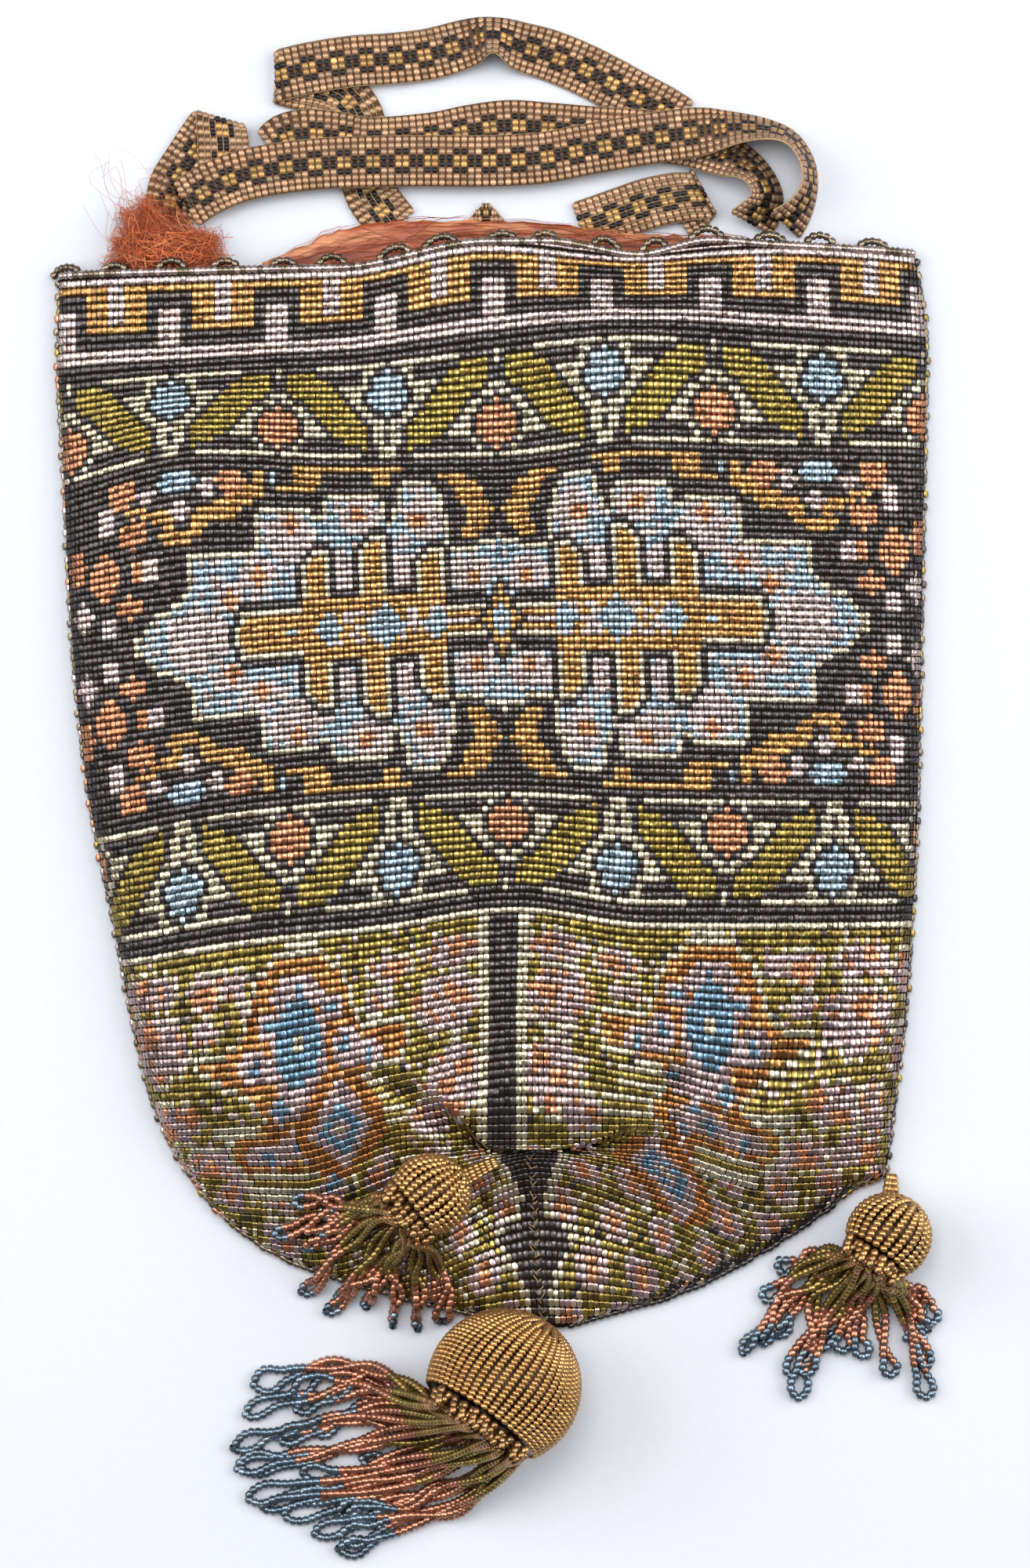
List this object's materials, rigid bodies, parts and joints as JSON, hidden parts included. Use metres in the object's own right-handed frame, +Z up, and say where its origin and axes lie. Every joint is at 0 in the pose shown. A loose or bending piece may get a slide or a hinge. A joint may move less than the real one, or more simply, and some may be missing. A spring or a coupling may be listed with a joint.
{
  "type": "beaded drawstring purse",
  "caption": "Antique woven-bead reticule lying flat, with patterned metal beads, a torn silk lining, heaped bead straps and tassels with bead balls and looped fringes.",
  "frame": {"origin": "under the middle of the whole purse, on the surface that it lies on", "axes": "+Z up out of the front of the pouch, +Y from the base towards the mouth, +X to the right seen from above"},
  "size_m": [0.2022, 0.3534, 0.0354],
  "materials": {
    "pouch_beads": "bead fabric of black, mauve, gold, olive, cream, blue and copper metal beads",
    "strap_beads": "copper-brown metal beads with a dark and gold chain",
    "ball_beads": "bronze metal bead strings",
    "fringe_beads": "bronze, olive, copper and steel blue metal bead strings",
    "silk": "frayed orange silk"
  },
  "bodies": {
    "root": {"pouch": "pouch_beads", "lining": "silk", "silk_tuft": "silk", "strap_front": "strap_beads", "strap_back": "strap_beads", "strap_upper": "strap_beads", "strap_loop": "strap_beads", "strap_tab": "strap_beads", "strap_tip": "strap_beads", "tassel_ball_left": "ball_beads", "tassel_ball_bottom": "ball_beads", "tassel_ball_right": "ball_beads", "tassel_hanger_left": "ball_beads", "tassel_hanger_bottom": "ball_beads", "tassel_hanger_right": "ball_beads", "tassel_fringe_left": "fringe_beads", "tassel_fringe_bottom": "fringe_beads", "tassel_fringe_right": "fringe_beads"}
  },
  "joints": []
}
